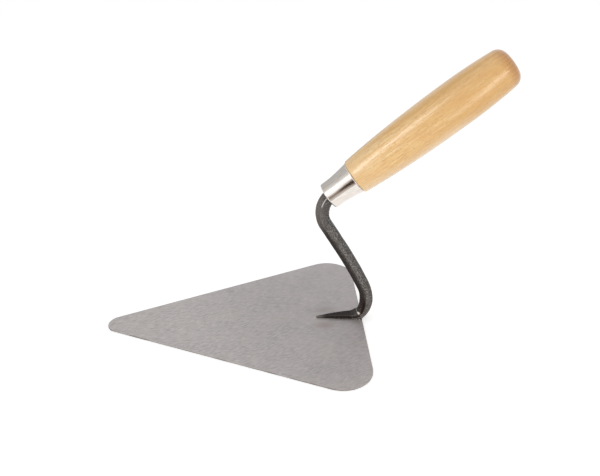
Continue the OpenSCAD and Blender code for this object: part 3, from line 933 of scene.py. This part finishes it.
# The hole for the tang from its closed end to its mouth, then the spigot, the side, the edge and the dome
bore = [(0, 81.7), (2.2, 81.1), (4.5, 9.1), (5.5, 3.1), (5.5, SPIGOT_START)]
spigot_places = (SPIGOT_START, COLLAR, 8.5, 12.5, 16.5, FERRULE)
spigot = [(ferrule_radius(s) - WALL - SPIGOT_GAP, s) for s in spigot_places]
spigot += [(spigot[-1][0], SHOULDER)]
side = [between(SHOULDER + FRONT_EDGE, side_end, i / SIDE_STEPS) for i in range(1, SIDE_STEPS)]
inward = [1 - i / DOME_STEPS for i in range(1, DOME_STEPS + 1)]
dome = [(butt_centre[0] * share, butt_end + DOME * (1 - share ** 2)) for share in inward]
profile = bore + spigot + arc((FRONT_R - FRONT_EDGE, SHOULDER + FRONT_EDGE), FRONT_EDGE, -90, 0, 6)
profile += [(grip_radius(s), s) for s in side] + arc(butt_centre, BUTT_EDGE, lean, 90, 14) + dome
grip = turned(profile, closed=False)

# %% [markdown]
# ## Lacquered beech
#
# Beech is a pale orange-brown wood. Its growth rings are faint lines, here cut by a grip whose pith lies far
# off to one side; its fibres are fine streaks along the grip, and its rays show as short dark flecks. The
# pattern is a solid one: the rings are shells round the pith, so they run on over the butt as end grain.
# The lacquer is the shader's clear coat.

# %% Beech: rings, fibres and flecks
beech, tree, shader = new_finish("beech")
wander = clouds(tree, coordinates(tree, (14 * MM, 14 * MM, 60 * MM), **TO_AXIS), detail=2)
parts = millimetres(tree, **TO_AXIS)
lean_out = sums(tree, "ADD", parts["X"], product(tree, parts["Z"], 0.035))
from_pith = add(tree, "CombineXYZ", {"X": lean_out, "Y": parts["Y"]}).outputs[0]
pith = add(tree, "VectorMath", {0: from_pith, 1: (-34, 22, 0)}, operation="SUBTRACT").outputs[0]
shells = add(tree, "VectorMath", {0: pith}, operation="LENGTH").outputs["Value"]
shells = sums(tree, "ADD", sums(tree, "DIVIDE", shells, 2.3), product(tree, wander, 2.6))
year = sums(tree, "FRACT", shells)
late_wood = product(tree, window(tree, year, 0.35, 0.9), window(tree, year, 0.9, 1.0, 1, 0))
fibres = clouds(tree, coordinates(tree, (0.55 * MM, 0.55 * MM, 11 * MM), **TO_AXIS), detail=4, roughness=0.7)
broad = clouds(tree, coordinates(tree, (3.2 * MM, 3.2 * MM, 50 * MM), **TO_AXIS), detail=3)
patches = clouds(tree, coordinates(tree, (8 * MM, 8 * MM, 26 * MM), **TO_AXIS), detail=3)
flecks = clouds(tree, coordinates(tree, (0.42 * MM, 0.42 * MM, 1.8 * MM), **TO_AXIS), detail=2)
pores = clouds(tree, coordinates(tree, (0.12 * MM, 0.12 * MM, 1.6 * MM), **TO_AXIS), detail=1)

# %% Beech: colour
wood = mix(tree, window(tree, broad, 0.32, 0.68), tone(232, 187, 112), tone(243, 209, 150))
wood = mix(tree, product(tree, late_wood, 0.3), wood, tone(218, 164, 88))
wood = mix(tree, window(tree, patches, 0.48, 0.68, 0, 0.5), wood, tone(224, 168, 94))
wood = mix(tree, window(tree, fibres, 0.4, 0.57, 0.62, 0), wood, tone(207, 151, 80))
wood = mix(tree, window(tree, flecks, 0.58, 0.7, 0, 0.65), wood, tone(172, 116, 60))
wood = mix(tree, window(tree, pores, 0.6, 0.8, 0, 0.3), wood, tone(188, 138, 84))
# Painted light: the grip is painted paler near the ferrule, as if more light fell there
wood = mix(tree, window(tree, parts["Z"], 22, 55, 0.35, 0), wood, tone(247, 218, 170))
wood = mix(tree, window(tree, parts["Z"], 40, 115, 0, 0.58), wood, tone(206, 156, 84))
# Painted reflection: the underside is painted paler, for the floor's sheen in the lacquer
floor_sheen = window(tree, parts["X"], -2, -11, 0, 0.5)
floor_sheen = product(tree, floor_sheen, window(tree, parts["Z"], 85, 110, 1, 0))
wood = mix(tree, floor_sheen, wood, tone(244, 213, 172))

# %% Beech: the end grain and the painted shade in the gap beside the ferrule
across_grip = add(tree, "CombineXYZ", {"X": parts["X"], "Y": parts["Y"]}).outputs[0]
from_middle = add(tree, "VectorMath", {0: across_grip}, operation="LENGTH").outputs["Value"]
rim = window(tree, from_middle, 2, 9, 0.4, 1)
end_grain = product(tree, window(tree, parts["Z"], 128.5, 137.5, 0, 0.85), rim)
end_rings = product(tree, end_grain, product(tree, late_wood, 0.4))
wood = mix(tree, end_grain, wood, tone(178, 120, 54))
wood = mix(tree, end_rings, wood, tone(150, 96, 44))
# Painted shade in the gap between the ferrule and the wood
gap_shade = product(tree, window(tree, parts["Z"], 21.8, 22.2, 1, 0), window(tree, broad, 0.5, 0.6, 0, 0.6))
wood = mix(tree, gap_shade, wood, tone(122, 84, 52))

# %% Beech: lacquer and relief
grain = sums(tree, "ADD", fibres, product(tree, pores, -0.5))
wire(tree, shader, Base_Color=wood, Roughness=window(tree, fibres, 0.3, 0.7, 0.5, 0.38))
wire(tree, shader, Normal=relief(tree, grain, 0.03 * MM, 0.5))
shader.inputs["Coat Weight"].default_value = 1
shader.inputs["Coat Roughness"].default_value = 0.1
wire(tree, shader, Coat_Normal=relief(tree, grain, 0.03 * MM, 0.7))
hand_over(grip, "grip_beech", "handle", beech, keep_normals=True)
